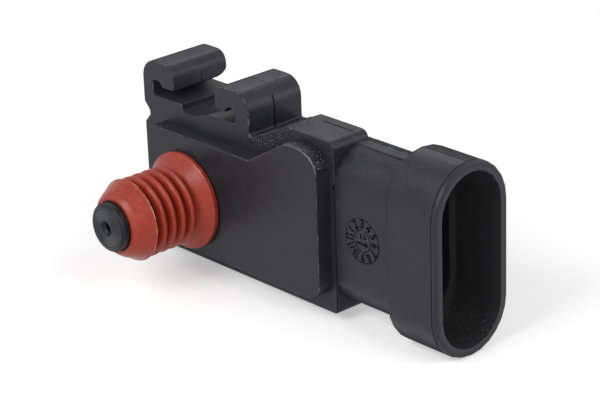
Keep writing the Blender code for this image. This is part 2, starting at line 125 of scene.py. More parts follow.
def mixColour(tree, factor, first, second):
    node = addNode(tree, "ShaderNodeMix", data_type="RGBA")
    for place, value in ((0, factor), (6, first), (7, second)):
        give(tree, node.inputs[place], value)
    return node.outputs[2]


def ramp(tree, value, low, high):
    node = addNode(tree, "ShaderNodeMapRange", interpolation_type="SMOOTHSTEP")
    for name, given in (("Value", value), ("From Min", low), ("From Max", high)):
        give(tree, node.inputs[name], given)
    return node.outputs["Result"]


def noise(tree, where, scale, detail=2.0, roughness=0.5):
    node = addNode(tree, "ShaderNodeTexNoise")
    for name, value in (("Vector", where), ("Scale", scale), ("Detail", detail), ("Roughness", roughness)):
        give(tree, node.inputs[name], value)
    return node.outputs["Fac"]


def cellNode(tree, where, scale):
    node = addNode(tree, "ShaderNodeTexVoronoi", feature="F1")
    for name, value in (("Vector", where), ("Scale", scale)):
        give(tree, node.inputs[name], value)
    return node


def splitParts(tree, source):
    node = addNode(tree, "ShaderNodeSeparateXYZ")
    feed(tree, source, node.inputs[0])
    return node.outputs


def surfaceNormal(tree):
    return splitParts(tree, addNode(tree, "ShaderNodeNewGeometry").outputs["Normal"])


# Shared shader groups, each built once

grainLook = {
    "detail": 3.0,
    "rippleDetail": 2.0,
    "rippleHeight": 1.2,
    "patch": (0.3, 0.7),
    "speckScale": 0.35,
    "speckSize": 0.16,
}
dustLook = {
    "detail": 6.0,
    "roughness": 0.65,
    "film": (0.45, 0.75),
    "upward": (0.1, 0.95),
    "everywhere": 0.2,
}


def startGroup(name, inputs, outputs):
    group = bpy.data.node_groups.new(name, "ShaderNodeTree")
    for label, kind, value in inputs:
        socket = group.interface.new_socket(name=label, in_out="INPUT", socket_type=kind)
        if value is not None:
            socket.default_value = value
    for label in outputs:
        group.interface.new_socket(name=label, in_out="OUTPUT", socket_type="NodeSocketFloat")
    return group, addNode(group, "NodeGroupInput").outputs, addNode(group, "NodeGroupOutput").inputs


def makeGrainGroup():
    # Fine moulded texture: a tight grain over a slower ripple, a patchy change of gloss, and specks
    look = grainLook
    group, given, out = startGroup(
        "mouldedGrain",
        [("Vector", "NodeSocketVector", None), ("Grain Scale", "NodeSocketFloat", 5200.0),
         ("Ripple Scale", "NodeSocketFloat", 420.0)],
        ["Height", "Patch", "Speck"])
    grain = noise(group, given["Vector"], given["Grain Scale"], look["detail"])
    ripple = noise(group, given["Vector"], given["Ripple Scale"], look["rippleDetail"])
    cells = cellNode(group, given["Vector"], times(group, given["Grain Scale"], look["speckScale"]))
    feed(group, mathNode(group, "MULTIPLY_ADD", ripple, look["rippleHeight"], grain), out["Height"])
    feed(group, ramp(group, ripple, *look["patch"]), out["Patch"])
    feed(group, below(group, cells.outputs["Distance"], look["speckSize"]), out["Speck"])
    return group


def makeDustGroup():
    # Thin dust: a cloudy film, stronger on faces that look up
    look = dustLook
    group, given, out = startGroup(
        "settledDust",
        [("Vector", "NodeSocketVector", None), ("Amount", "NodeSocketFloat", 0.3),
         ("Scale", "NodeSocketFloat", 900.0)],
        ["Mask"])
    cloud = noise(group, given["Vector"], given["Scale"], look["detail"], look["roughness"])
    film = ramp(group, cloud, *look["film"])
    upward = ramp(group, surfaceNormal(group)["Z"], *look["upward"])
    level = mathNode(group, "MULTIPLY_ADD", upward, 1.0 - look["everywhere"], look["everywhere"])
    thin = times(group, film, level)
    feed(group, mathNode(group, "MULTIPLY", thin, given["Amount"], clamp=True), out["Mask"])
    return group


grainGroup = makeGrainGroup()
dustGroup = makeDustGroup()


def useGroup(tree, group, where, values):
    node = addNode(tree, "ShaderNodeGroup", node_tree=group)
    feed(tree, where, node.inputs["Vector"])
    for name, value in values.items():
        node.inputs[name].default_value = value
    return node.outputs


def startMaterial(name):
    made = bpy.data.materials.new(name)
    made.use_nodes = True
    tree = made.node_tree
    shader = tree.nodes["Principled BSDF"].inputs
    where = addNode(tree, "ShaderNodeTexCoord").outputs["Object"]
    return made, tree, shader, where


def addBump(tree, shader, height, distance, after=None):
    bump = addNode(tree, "ShaderNodeBump")
    bump.inputs["Strength"].default_value = 1.0
    bump.inputs["Distance"].default_value = distance
    feed(tree, height, bump.inputs["Height"])
    if after is not None:
        feed(tree, after, bump.inputs["Normal"])
    feed(tree, bump.outputs["Normal"], shader["Normal"])
    return bump.outputs["Normal"]


def datumPlaces(tree, where):
    # Coordinates from the part's own datum
    local = addNode(tree, "ShaderNodeVectorMath", operation="SUBTRACT")
    feed(tree, where, local.inputs[0])
    local.inputs[1].default_value = origin
    parts = splitParts(tree, local.outputs[0])
    return parts["X"], parts["Y"], parts["Z"]


# Black moulded plastic of the housing

blackPlastic = {
    "colour": (0.0186, 0.0188, 0.0222),
    "worn": (0.0280, 0.0284, 0.0325),
    # painted light inside the socket
    "socket": (0.0310, 0.0310, 0.0335),
    # painted highlight on the pad's shoulder
    "shoulder": (0.300, 0.300, 0.310),
    # painted highlight on the front edges
    "edgeHighlight": (0.150, 0.150, 0.158),
    # painted shade towards the outline, where the surface turns away from the view
    "edge": (0.006, 0.006, 0.007),
    "dust": (0.20, 0.195, 0.185),
    # painted glints on the eroded band and on the dial
    "paintedGlint": (0.24, 0.24, 0.25),
    # dark pits, and painted shade in creases and in the dial's marks
    "darkPitsAndShade": (0.003, 0.003, 0.004),
    "tip": (0.0085, 0.0092, 0.0110),
    "gloss": 0.22,
    "roughness": 0.34,
    "patchRoughness": 0.08,
    "bandRoughness": 0.05,
    "creaseRoughness": 0.5,
    "rimRoughness": 0.6,
    "grain": {"Grain Scale": 5200.0, "Ripple Scale": 420.0},
    "grainDepth": 0.010 * mm,
    "coarse": (3000.0, 3.0, 0.6),
    "coarseDepth": 0.05 * mm,
    "film": {"Amount": 0.08, "Scale": 1500.0},
    "patchMix": 0.35,
    "darkMix": 0.8,
    "edgeHighlightMix": 0.75,
    "glancingShadeMix": 0.8,
    "rim": (0.5, 0.96),
    "rimBlend": 0.5,
    "grainsUpward": (0.25, 0.8),
    "grainsInside": 0.8,
    "grainsElsewhere": 0.06,
    "tipFrom": -13.8 * mm,
    "tipFace": -15.28 * mm,
    "tipCoat": 0.5,
    "tipRoughness": 0.22,
}
# Spark-eroded band beside the pad and over the slope, thinner on the hook's wall and the collar
roughBand = {
    "along": (17.0 * mm, 25.0 * mm),
    "end": 41.8 * mm,
    "rising": (20.5 * mm, 23.0 * mm),
    "face": 0.2 * mm,
    "back": 6.5 * mm,
    "hookEnd": 24.2 * mm,
    "hookFoot": 22.9 * mm,
    "collar": 33.5 * mm,
    "collarFace": 2.45 * mm,
    "collarSpared": 0.6,
}
# Painted glints and dark pits of that band, at most one to a cell
speckLook = {"scale": 5200.0, "core": 0.36, "bright": 0.12, "dark": 0.5, "fade": 2.0}
# Painted highlight along the edge of the pad's rounded shoulder
shoulderHighlightLook = {
    "lean": (0.74, 0.67),
    "upward": (0.08, 0.28),
    "sideways": (0.0, 0.12),
    "turn": (0.12, 0.35),
    "turnEnd": 0.72,
    "padEdge": 0.42 * mm,
    "noise": (2600.0, 3.0, 0.7),
    "uneven": (0.9, 0.25),
}
# Painted highlight in patches along the front edges of the block, the pad and the hooks
edgeHighlightLook = {
    "turned": (-0.94, -0.3),
    "end": 41.2 * mm,
    "front": -0.02 * mm,
    "noise": (620.0, 3.0, 0.75),
    "patch": (0.44, 0.66),
}
# Painted shade where the neck leaves the block and behind the shroud's back edge, and a dark broken line
# along the neck's crown
creaseShadeLook = {
    "block": (41.5 * mm, 41.95 * mm),
    "blockStep": 41.72 * mm,
    "blockFace": 2.65 * mm,
    "blockTop": 20.3 * mm,
    "shroud": (53.0 * mm, 53.45 * mm),
    "shroudTurned": -0.2,
    "shroudRise": (14.5 * mm, 19.0 * mm),
    "crown": (8.72 * mm, 8.97 * mm),
    "crownEnds": (41.8 * mm, 53.0 * mm),
    "crownLow": 23.0 * mm,
    "noise": (700.0, 2.0, 0.6),
    "broken": (0.42, 0.5),
}
# Inside of the socket: paler colour as painted light, and loose dust grains on what faces up
socketHollow = {
    "start": 53.9 * mm,
    "y": 8.275 * mm,
    "z": 13.1 * mm,
    "straight": 7.3 * mm,
    "radius": 6.4 * mm,
}
# Date dial on the neck's flat side; the outlines of its arrow and marks are in mm from its middle
dialLook = {
    "middle": (47.25 * mm, 13.3 * mm),
    "face": 2.4 * mm,
    "lead": 0.4 * mm,
    "outer": 3.32 * mm,
    "inner": 1.62 * mm,
    "line": 0.18 * mm,
    "lineSides": 64,
    "weld": 0.001 * mm,
    "numberRadius": 2.5 * mm,
    "numberSize": 1.8 * mm,
    "numberSteps": 2,
    "stroke": 0.095 * mm,
    "depth": 0.22 * mm,
    "lineShare": 0.5,
    "start": 90,
    "turn": 30,
    "squeeze": 0.85,
    "squeezeTwo": 0.62,
    "margin": 0.15 * mm,
    "sunk": (0.03 * mm, 0.4 * mm),
    "glints": 0.7,
    "marks": (
        ((-1.15, -0.62), (0.55, -0.62), (0.55, -0.95), (1.3, -0.42),
         (0.55, 0.1), (0.55, -0.22), (-1.15, -0.22)),
        ((-0.5, 0.35), (-0.2, 0.35), (-0.2, 1.05), (-0.5, 1.05)),
        ((0.25, 0.35), (0.75, 0.35), (0.75, 0.6), (0.5, 0.6), (0.5, 1.05), (0.25, 1.05)),
    ),
}


def bandMasks(tree, x, y, z):
    look = roughBand
    along = times(tree, ramp(tree, x, *look["along"]), below(tree, x, look["end"]))
    onHook = times(tree, below(tree, x, look["hookEnd"]), above(tree, z, look["hookFoot"]))
    onCollar = times(tree, above(tree, x, look["collar"]), above(tree, y, look["collarFace"]))
    spared = largest(tree, onHook, times(tree, onCollar, look["collarSpared"]))
    deep = between(tree, y, look["face"], look["back"])
    rising = times(tree, along, ramp(tree, z, *look["rising"]))
    return rising, times(tree, rising, times(tree, deep, mathNode(tree, "SUBTRACT", 1.0, spared)))


def speckMasks(tree, where, rough):
    look = speckLook
    cells = cellNode(tree, where, look["scale"])
    draw = splitParts(tree, cells.outputs["Color"])["X"]
    core = below(tree, cells.outputs["Distance"], look["core"])
    chosen = times(tree, below(tree, draw, look["bright"]), core)
    paintedGlints = times(tree, chosen, mathNode(tree, "POWER", rough, look["fade"]))
    return chosen, paintedGlints, times(tree, above(tree, draw, look["dark"]), rough)


# Painted highlight: brighter where the pad's shoulder turns between up and sideways
def shoulderMask(tree, where, y, normal, rising):
    look = shoulderHighlightLook
    leanX, leanZ = look["lean"]
    turn = mathNode(tree, "ADD", times(tree, normal["X"], leanX), times(tree, normal["Z"], leanZ))
    corner = times(tree, ramp(tree, normal["Z"], *look["upward"]), ramp(tree, normal["X"], *look["sideways"]))
    highlit = times(tree, corner, rising, ramp(tree, turn, *look["turn"]))
    onPad = times(tree, below(tree, turn, look["turnEnd"]), below(tree, y, look["padEdge"]))
    uneven = mathNode(tree, "MULTIPLY_ADD", noise(tree, where, *look["noise"]), *look["uneven"])
    return mathNode(tree, "MULTIPLY", times(tree, highlit, onPad), uneven, clamp=True)


def wornMask(tree, where, x, y, normal):
    look = edgeHighlightLook
    onBlock = times(tree, below(tree, x, look["end"]), above(tree, y, look["front"]))
    patchy = ramp(tree, noise(tree, where, *look["noise"]), *look["patch"])
    return times(tree, between(tree, normal["Y"], *look["turned"]), onBlock, patchy)


def dialMasks(tree, x, y, z, chosen):
    # Painted glints on the dial's face, and painted shade on the floors of its marks
    look = dialLook
    across = mathNode(tree, "SUBTRACT", x, look["middle"][0])
    upwards = mathNode(tree, "SUBTRACT", z, look["middle"][1])
    onDial = below(tree, lengthOf(tree, across, upwards), look["outer"] + look["margin"])
    onFace = times(tree, onDial, below(tree, y, look["face"] + look["margin"]))
    low, high = look["sunk"]
    sunk = times(tree, between(tree, y, look["face"] + low, look["face"] + high), onDial)
    return times(tree, chosen, times(tree, onFace, look["glints"])), sunk


def creaseMask(tree, where, x, y, z, normal):
    look = creaseShadeLook
    inFront = times(tree, below(tree, y, look["blockFace"]), below(tree, z, look["blockTop"]))
    onNeck = above(tree, x, look["blockStep"])
    atBlock = times(tree, between(tree, x, *look["block"]), largest(tree, inFront, onNeck))
    backEdge = times(tree, below(tree, normal["X"], look["shroudTurned"]), ramp(tree, z, *look["shroudRise"]))
    atShroud = times(tree, between(tree, x, *look["shroud"]), backEdge)
    dashes = times(tree, above(tree, z, look["crownLow"]),
                   ramp(tree, noise(tree, where, *look["noise"]), *look["broken"]))
    onCrown = times(tree, between(tree, x, *look["crownEnds"]), between(tree, y, *look["crown"]))
    return largest(tree, atBlock, atShroud, times(tree, dashes, onCrown))


def socketMask(tree, x, y, z):
    # Inside the upright oval of the socket
    look = socketHollow
    sideways = mathNode(tree, "SUBTRACT", y, look["y"])
    height = mathNode(tree, "ABSOLUTE", mathNode(tree, "SUBTRACT", z, look["z"]))
    upright = largest(tree, mathNode(tree, "SUBTRACT", height, look["straight"]), 0.0)
    inOval = below(tree, lengthOf(tree, sideways, upright), look["radius"])
    return times(tree, inOval, above(tree, x, look["start"]))


def makeBlackPlastic():
    look = blackPlastic
    made, tree, shader, where = startMaterial("blackMoulding")
    shader["Specular IOR Level"].default_value = look["gloss"]
    shader["Coat Roughness"].default_value = look["tipRoughness"]
    grain = useGroup(tree, grainGroup, where, look["grain"])
    film = useGroup(tree, dustGroup, where, look["film"])
    x, y, z = datumPlaces(tree, where)
    normal = surfaceNormal(tree)
    rising, rough = bandMasks(tree, x, y, z)
    chosen, paintedGlints, pits = speckMasks(tree, where, rough)
    glints, sunk = dialMasks(tree, x, y, z, chosen)
    creaseShade = largest(tree, creaseMask(tree, where, x, y, z, normal), sunk)
    socket = socketMask(tree, x, y, z)
    upward = ramp(tree, normal["Z"], *look["grainsUpward"])
    amount = mathNode(tree, "MULTIPLY_ADD", socket, look["grainsInside"], look["grainsElsewhere"])
    # Painted shade: darker towards the outline, where the surface turns away from the view; rougher there too
    glance = addNode(tree, "ShaderNodeLayerWeight")
    glance.inputs["Blend"].default_value = look["rimBlend"]
    rim = ramp(tree, glance.outputs["Facing"], *look["rim"])

    layers = (
        (times(tree, grain["Patch"], look["patchMix"]), "worn"),
        (socket, "socket"),
        (times(tree, largest(tree, pits, creaseShade), look["darkMix"]), "darkPitsAndShade"),
        (shoulderMask(tree, where, y, normal, rising), "shoulder"),
        (times(tree, wornMask(tree, where, x, y, normal), look["edgeHighlightMix"]), "edgeHighlight"),
        (largest(tree, paintedGlints, glints), "paintedGlint"),
        (times(tree, upward, grain["Speck"], amount), "dust"),
        (below(tree, y, look["tipFrom"]), "tip"),
        (film["Mask"], "dust"),
        (times(tree, rim, look["glancingShadeMix"]), "edge"),
    )
    colour = look["colour"]
    for mask, name in layers:
        colour = mixColour(tree, mask, colour, look[name])
    feed(tree, colour, shader["Base Color"])

    duller = look["roughness"]
    for mask, name in ((grain["Patch"], "patchRoughness"), (rough, "bandRoughness"),
                       (creaseShade, "creaseRoughness")):
        duller = mathNode(tree, "MULTIPLY_ADD", mask, look[name], duller)
    rougher = mathNode(tree, "MULTIPLY_ADD", rim, look["rimRoughness"], duller, clamp=True)
    feed(tree, rougher, shader["Roughness"])
    feed(tree, times(tree, below(tree, y, look["tipFace"]), look["tipCoat"]), shader["Coat Weight"])

    fine = addBump(tree, shader, grain["Height"], look["grainDepth"])
    coarse = times(tree, noise(tree, where, *look["coarse"]), rough)
    addBump(tree, shader, coarse, look["coarseDepth"], fine)
    return made


# Red silicone of the port seal

redSilicone = {
    "colour": (0.305, 0.027, 0.011),
    "pale": (0.350, 0.043, 0.022),
    "flash": (0.62, 0.30, 0.18),
    "dust": (0.55, 0.33, 0.28),
    "gloss": 0.32,
    "roughness": 0.29,
    "patchRoughness": 0.1,
    "patchMix": 0.45,
    "grain": {"Grain Scale": 4200.0, "Ripple Scale": 300.0},
    "grainDepth": 0.010 * mm,
    "film": {"Amount": 0.16, "Scale": 1100.0},
    "flashAt": (-10.98 * mm, -10.84 * mm),
    "flashNoise": (900.0, 3.0, 0.7),
    "flashBroken": (0.42, 0.72),
}


def makeRedSilicone():
    look = redSilicone
    made, tree, shader, where = startMaterial("redSilicone")
    shader["Specular IOR Level"].default_value = look["gloss"]
    grain = useGroup(tree, grainGroup, where, look["grain"])
    film = useGroup(tree, dustGroup, where, look["film"])
    onCrest = between(tree, datumPlaces(tree, where)[1], *look["flashAt"])
    broken = ramp(tree, noise(tree, where, *look["flashNoise"]), *look["flashBroken"])
    colour = look["colour"]
    for mask, name in ((times(tree, grain["Patch"], look["patchMix"]), "pale"),
                       (times(tree, onCrest, broken), "flash"), (film["Mask"], "dust")):
        colour = mixColour(tree, mask, colour, look[name])
    feed(tree, colour, shader["Base Color"])
    gloss = mathNode(tree, "MULTIPLY_ADD", grain["Patch"], look["patchRoughness"], look["roughness"])
    feed(tree, gloss, shader["Roughness"])
    addBump(tree, shader, grain["Height"], look["grainDepth"])
    return made


# Finishes of the pieces that stay out of sight, each with its own grain

plainLook = {"patchRoughness": 0.1, "rippleShare": 1 / 9}


def makePlain(name, colour, pale, roughness, metallic=0.0, grain=3000.0, depth=0.006, transmission=0.0):
    made, tree, shader, where = startMaterial(name)
    ripple = grain * plainLook["rippleShare"]
    detail = useGroup(tree, grainGroup, where, {"Grain Scale": grain, "Ripple Scale": ripple})
    feed(tree, mixColour(tree, detail["Patch"], colour, pale), shader["Base Color"])
    gloss = mathNode(tree, "MULTIPLY_ADD", detail["Patch"], plainLook["patchRoughness"], roughness)
    feed(tree, gloss, shader["Roughness"])
    shader["Metallic"].default_value = metallic
    shader["Transmission Weight"].default_value = transmission
    addBump(tree, shader, detail["Height"], depth * mm)
    return made


blackMoulding = makeBlackPlastic()
sealRubber = makeRedSilicone()
print("materials ready")


# Mesh helpers

def linkObject(name, data):
    piece = bpy.data.objects.new(name, data)
    bpy.context.scene.collection.objects.link(piece)
    return piece


def keepMesh(name, mesh, material):
    piece = linkObject(name, mesh)
    mesh.materials.clear()
    mesh.materials.append(material)
    return piece


def plainMesh(piece):
    # What the modifiers make of a piece, as a mesh of its own
    shown = piece.evaluated_get(bpy.context.evaluated_depsgraph_get())
    return bpy.data.meshes.new_from_object(shown)


def applyAll(piece):
    mesh = plainMesh(piece)
    old = piece.data
    piece.modifiers.clear()
    piece.data = mesh
    bpy.data.meshes.remove(old)


def meshFrom(name, shape):
    # Keep a shape as a mesh with its faces outwards
    bmesh.ops.recalc_face_normals(shape, faces=shape.faces)
    mesh = bpy.data.meshes.new(name)
    shape.to_mesh(mesh)
    shape.free()
    return mesh


def shadeByAngle(mesh, degrees):
    mesh.shade_smooth()
    mesh.set_sharp_from_angle(angle=math.radians(degrees))


def keepFlats(piece):
    # Large flat faces pull the shading normals of the vertices they share
    weigh = piece.modifiers.new("flats", "WEIGHTED_NORMAL")
    weigh.mode = "FACE_AREA"
    weigh.weight = 100
    weigh.keep_sharp = True
    applyAll(piece)


def turned(middle, radius, degrees):
    angle = math.radians(degrees)
    return middle[0] + radius * math.cos(angle), middle[1] + radius * math.sin(angle)


def addPrism(shape, first, second):
    # A closed prism between two outlines with the same number of points
    near, far = [[shape.verts.new(point) for point in outline] for outline in (first, second)]
    shape.faces.new(near)
    shape.faces.new(reversed(far))
    for k in range(len(near)):
        j = (k + 1) % len(near)
        shape.faces.new((near[k], far[k], far[j], near[j]))


def boxTool(name, low, high):
    shape = bmesh.new()
    bmesh.ops.create_cube(shape, size=1.0)
    bmesh.ops.scale(shape, vec=Vector(high) - Vector(low), verts=shape.verts)
    bmesh.ops.translate(shape, vec=origin + (Vector(low) + Vector(high)) / 2, verts=shape.verts)
    return linkObject(name, meshFrom(name, shape))


def prismTool(name, outline, axis, low, high):
    # The outline lies in the plane across the axis, in the datum's places
    shape = bmesh.new()
    ends = [[origin + Vector(point[:axis] + (at,) + point[axis:]) for point in outline] for at in (low, high)]
    addPrism(shape, *ends)
    return linkObject(name, meshFrom(name, shape))


def bandTool(name, rings):
    # A closed solid whose section is the loop of the rings given
    shape = bmesh.new()
    loops = [[shape.verts.new(point) for point in ring] for ring in rings]
    for k, ring in enumerate(loops):
        after = loops[(k + 1) % len(loops)]
        for j in range(len(ring)):
            i = (j + 1) % len(ring)
            shape.faces.new((ring[j], ring[i], after[i], after[j]))
    return linkObject(name, meshFrom(name, shape))


def carve(piece, operation, tools):
    # Booleans one after another, made plain again at the end
    for tool in tools:
        step = piece.modifiers.new(operation, "BOOLEAN")
        step.operation = operation
        step.solver = "EXACT"
        step.object = tool
    applyAll(piece)
    for tool in tools:
        bpy.data.objects.remove(tool, do_unlink=True)


# Housing: the frame's own solid with every edge softened, tool marks and the dial

housingLook = {
    "edge": 0.15 * mm,
    "edgeSteps": 2,
    "edgeAngle": 35,
    "flatAngle": 1.0,
    "weld": 0.002 * mm,
    "shadeAngle": 32,
    # Flash ridges in mm: start, end, height of the face below, place across
    "flashLines": ((34.2, 40.3, 26.5, 7.65), (54.0, 61.6, 27.6, 8.3)),
    "flashWidth": 0.14 * mm,
    "flashHeight": 0.06 * mm,
    "flashFoot": 0.3 * mm,
    "neckStrip": ((41.5 * mm, 6.95 * mm, 25.0 * mm), (53.4 * mm, 8.95 * mm, 25.37 * mm)),
    # The split line up the right hook's wall and over its shoulder
    "grooveWidth": 0.3 * mm,
    "grooveDepth": 0.2 * mm,
    "hookRight": 23.85 * mm,
    "hookFoot": 22.95 * mm,
    "hookSplit": 7.7 * mm,
    "hookShoulder": (21.05 * mm, 26.35 * mm),
    "climbTo": 30,
    "climbStep": 5,
    "climbReach": 2 * mm,
    # The left lip's sloping back end, its outline in mm
    "lipOutline": ((13.6, 27.1), (13.07, 26.9), (12.85, 26.45), (12.3, 26.05),
                   (11.6, 25.8), (10.8, 25.58), (10.8, 25.2), (13.6, 25.2)),
    "lipSpan": (3.6 * mm, 8.0 * mm),
    "crownSlot": ((17.0 * mm, 8.2 * mm, 29.06 * mm), (23.6 * mm, 8.34 * mm, 30.0 * mm)),
    "lipSlot": ((7.12 * mm, 8.0 * mm, 25.9 * mm), (8.0 * mm, 8.14 * mm, 27.6 * mm)),
    "gateMark": (21.55 * mm, 10.3 * mm, 29.08 * mm),
    "gateTilt": 10,
    "gateRadii": (0.22 * mm, 0.34 * mm),
    "gateHeights": (-0.3 * mm, 0.04 * mm),
    "gateSteps": 24,
    # Fine lines round the neck and the shroud's mouth
    "axisY": 8.275 * mm,
    "shroudMiddle": 13.1 * mm,
    "shroudHalf": (7.2 * mm, 14.5 * mm),
    "mouth": 62.7 * mm,
    "rimGrooveBack": 0.72 * mm,
    "rimGrooveWidth": 0.2 * mm,
    "rimGrooveDepth": 0.14 * mm,
    "neckStart": 41.7 * mm,
    "neckHalf": (5.875 * mm, 12.25 * mm),
    "neckGroove": (0.02 * mm, 0.2 * mm),
    "neckGrooveDepth": 0.14 * mm,
    "ovalSteps": 24,
    # The port's bore and the turned rings on its face
    "boreWide": 1.25 * mm,
    "boreNarrow": 0.8 * mm,
    "boreStart": 0.2 * mm,
    "boreCone": 0.75 * mm,
    "boreEnd": 6 * mm,
    "boreWall": 0.1 * mm,
    "boreStep": 0.05 * mm,
    "boreSides": 48,
    "faceStart": 0.03 * mm,
    "faceEdge": 3.05 * mm,
    "faceFall": 0.2 * mm,
    "faceSkin": 0.004 * mm,
    "faceRings": 24,
    "faceRingDepth": 0.055 * mm,
    "faceSides": 64,
}
# Dark ends of the socket and of the chamber, whose edges stay as they are
hiddenPlaces = (
    ((43.0 * mm, 4.0 * mm, -100 * mm), (44.2 * mm, 12.0 * mm, 100 * mm)),
    ((2.0 * mm, 2.6 * mm, 2.0 * mm), (43.6 * mm, 11.4 * mm, 20.9 * mm)),
)


def isHidden(place):
    return any(all(a < at < b for a, at, b in zip(low, place, high)) for low, high in hiddenPlaces)


def softenEdges(mesh, look):
    # Merge the loose triangles, join the flat ones and round every sharp edge that shows
    shape = bmesh.new()
    shape.from_mesh(mesh)
    bmesh.ops.remove_doubles(shape, verts=shape.verts, dist=look["weld"])
    flat = math.radians(look["flatAngle"])
    bmesh.ops.dissolve_limit(shape, angle_limit=flat, verts=shape.verts, edges=shape.edges)
    limit = math.radians(look["edgeAngle"])
    edges = [e for e in shape.edges if len(e.link_faces) == 2 and e.calc_face_angle(0.0) > limit]
    edges = [e for e in edges if not isHidden((e.verts[0].co + e.verts[1].co) / 2 - origin)]
    bmesh.ops.bevel(shape, geom=edges, offset=look["edge"], segments=look["edgeSteps"], profile=0.5,
                    affect="EDGES", clamp_overlap=True, loop_slide=True)
    bmesh.ops.recalc_face_normals(shape, faces=shape.faces)
    shape.to_mesh(mesh)
    shape.free()


def ovalRing(x, halfWidth, halfHeight):
    # Points of an upright oval with round ends in the plane of x, about the connector's axis
    steps = housingLook["ovalSteps"]
    rise = halfHeight - halfWidth
    points = []
    for k in range(2 * steps + 2):
        upper = k <= steps
        angle = math.pi * (k if upper else k - 1) / steps
        y = housingLook["axisY"] + halfWidth * math.cos(angle)
        z = housingLook["shroudMiddle"] + (rise if upper else -rise) + halfWidth * math.sin(angle)
        points.append(origin + Vector((x, y, z)))
    return points


def turnRing(radius, out, sides):
    # Points of a circle about the port's axis, so far out from the pad
    points = []
    for k in range(sides):
        angle = 2 * math.pi * k / sides
        points.append(portAxis + Vector((radius * math.cos(angle), -out, radius * math.sin(angle))))
    return points


def ovalGroove(start, end, half, depth):
    # A fine line sunk all round the outer side of the neck or the shroud
    places = ((start, -depth), (end, -depth), (end, mm), (start, mm))
    return bandTool("groove", [ovalRing(x, half[0] + grow, half[1] + grow) for x, grow in places])


def boreRing(look):
    # The port's bore narrows just behind its countersunk mouth
    wide = look["boreWide"]
    reach = datum["portReach"]
    start = reach - look["boreStart"]
    end = reach - look["boreEnd"]
    places = ((wide + look["boreWall"], start), (wide - look["boreStep"], start),
              (look["boreNarrow"], reach - look["boreCone"]), (look["boreNarrow"], end),
              (wide + look["boreWall"], end))
    return bandTool("boreRing", [turnRing(radius, out, look["boreSides"]) for radius, out in places])


def turnedFace(look):
    # Concentric tool marks on the port's front, cut just under its shallow cone
    reach = datum["portReach"]
    start = look["boreWide"] + look["faceStart"]
    count = look["faceRings"]
    places = [(start, reach + mm)]
    for k in range(count + 1):
        radius = start + (look["faceEdge"] - start) * k / count
        fall = look["faceFall"] * (radius - look["boreWide"]) / (look["faceEdge"] - look["boreWide"])
        places.append((radius, reach - fall - look["faceSkin"] - (k % 2) * look["faceRingDepth"]))
    places.append((look["faceEdge"], reach + mm))
    return bandTool("turnedFace", [turnRing(radius, out, look["faceSides"]) for radius, out in places])


def gateRing(look):
    # The round gate mark on the right hook, a low ring that follows the crown
    tilt = Matrix.Rotation(math.radians(look["gateTilt"]), 4, "Y")
    inner, outer = look["gateRadii"]
    low, high = look["gateHeights"]
    steps = look["gateSteps"]
    loops = []
    for radius, height in ((inner, low), (outer, low), (outer, high), (inner, high)):
        ring = []
        for k in range(steps):
            angle = 2 * math.pi * k / steps
            point = tilt @ Vector((radius * math.cos(angle), radius * math.sin(angle), height))
            ring.append(origin + Vector(look["gateMark"]) + point)
        loops.append(ring)
    return bandTool("gateRing", loops)


def flashRidge(look, start, end, top, middle):
    half = look["flashWidth"] / 2
    low = (start * mm, middle * mm - half, top * mm - look["flashFoot"])
    return boxTool("flash", low, (end * mm, middle * mm + half, top * mm + look["flashHeight"]))


def hookSlot(look):
    corner = look["hookShoulder"]
    half = look["grooveWidth"] / 2
    within = look["hookRight"] - corner[0] - look["grooveDepth"]
    beyond = within + look["climbReach"]
    to, step = look["climbTo"], look["climbStep"]
    outline = [(corner[0] + within, look["hookFoot"])]
    outline += [turned(corner, within, angle) for angle in range(0, to + 1, step)]
    outline += [turned(corner, beyond, angle) for angle in range(to, -1, -step)]
    outline.append((corner[0] + beyond, look["hookFoot"]))
    return prismTool("slot", outline, 1, look["hookSplit"] - half, look["hookSplit"] + half)


def dialLine(radius):
    # A round line of the dial
    look = dialLook
    near = look["face"] - look["lead"]
    far = look["face"] + look["lineShare"] * look["depth"]
    half = look["line"] / 2
    turns = [2 * math.pi * k / look["lineSides"] for k in range(look["lineSides"])]
    rings = []
    for r, y in ((radius - half, near), (radius + half, near), (radius + half, far), (radius - half, far)):
        rings.append([origin + Vector((look["middle"][0] + r * math.cos(turn), y,
                                       look["middle"][1] + r * math.sin(turn))) for turn in turns])
    return bandTool("dialRing", rings)


def dialNumber(number):
    # One plain number of the dial, its top outwards, thickened into a closed solid
    look = dialLook
    drawn = bpy.data.curves.new("number", "FONT")
    drawn.body = str(number)
    drawn.size = look["numberSize"]
    drawn.resolution_u = look["numberSteps"]
    drawn.offset = look["stroke"]
    drawn.align_x = "CENTER"
    drawn.align_y = "CENTER"
    drawn.extrude = (look["lead"] + look["depth"]) / 2
    holder = linkObject("number", drawn)
    mesh = plainMesh(holder)
    bpy.data.objects.remove(holder, do_unlink=True)
    squeeze = look["squeezeTwo"] if number > 9 else look["squeeze"]
    turn = math.radians(look["start"] - look["turn"] * number)
    radius = look["numberRadius"]
    right = look["middle"][0] - radius * math.sin(turn)
    up = look["middle"][1] + radius * math.cos(turn)
    centre = origin + Vector((right, look["face"] - look["lead"] + drawn.extrude, up))
    standing = Matrix.Rotation(math.radians(90), 4, "X") @ Matrix.Rotation(turn, 4, "Z")
    mesh.transform(Matrix.Translation(centre) @ standing @ Matrix.Scale(squeeze, 4, (1, 0, 0)))
    shape = bmesh.new()
    shape.from_mesh(mesh)
    bmesh.ops.remove_doubles(shape, verts=shape.verts, dist=look["weld"])
    return linkObject("dialTool", meshFrom("number", shape))


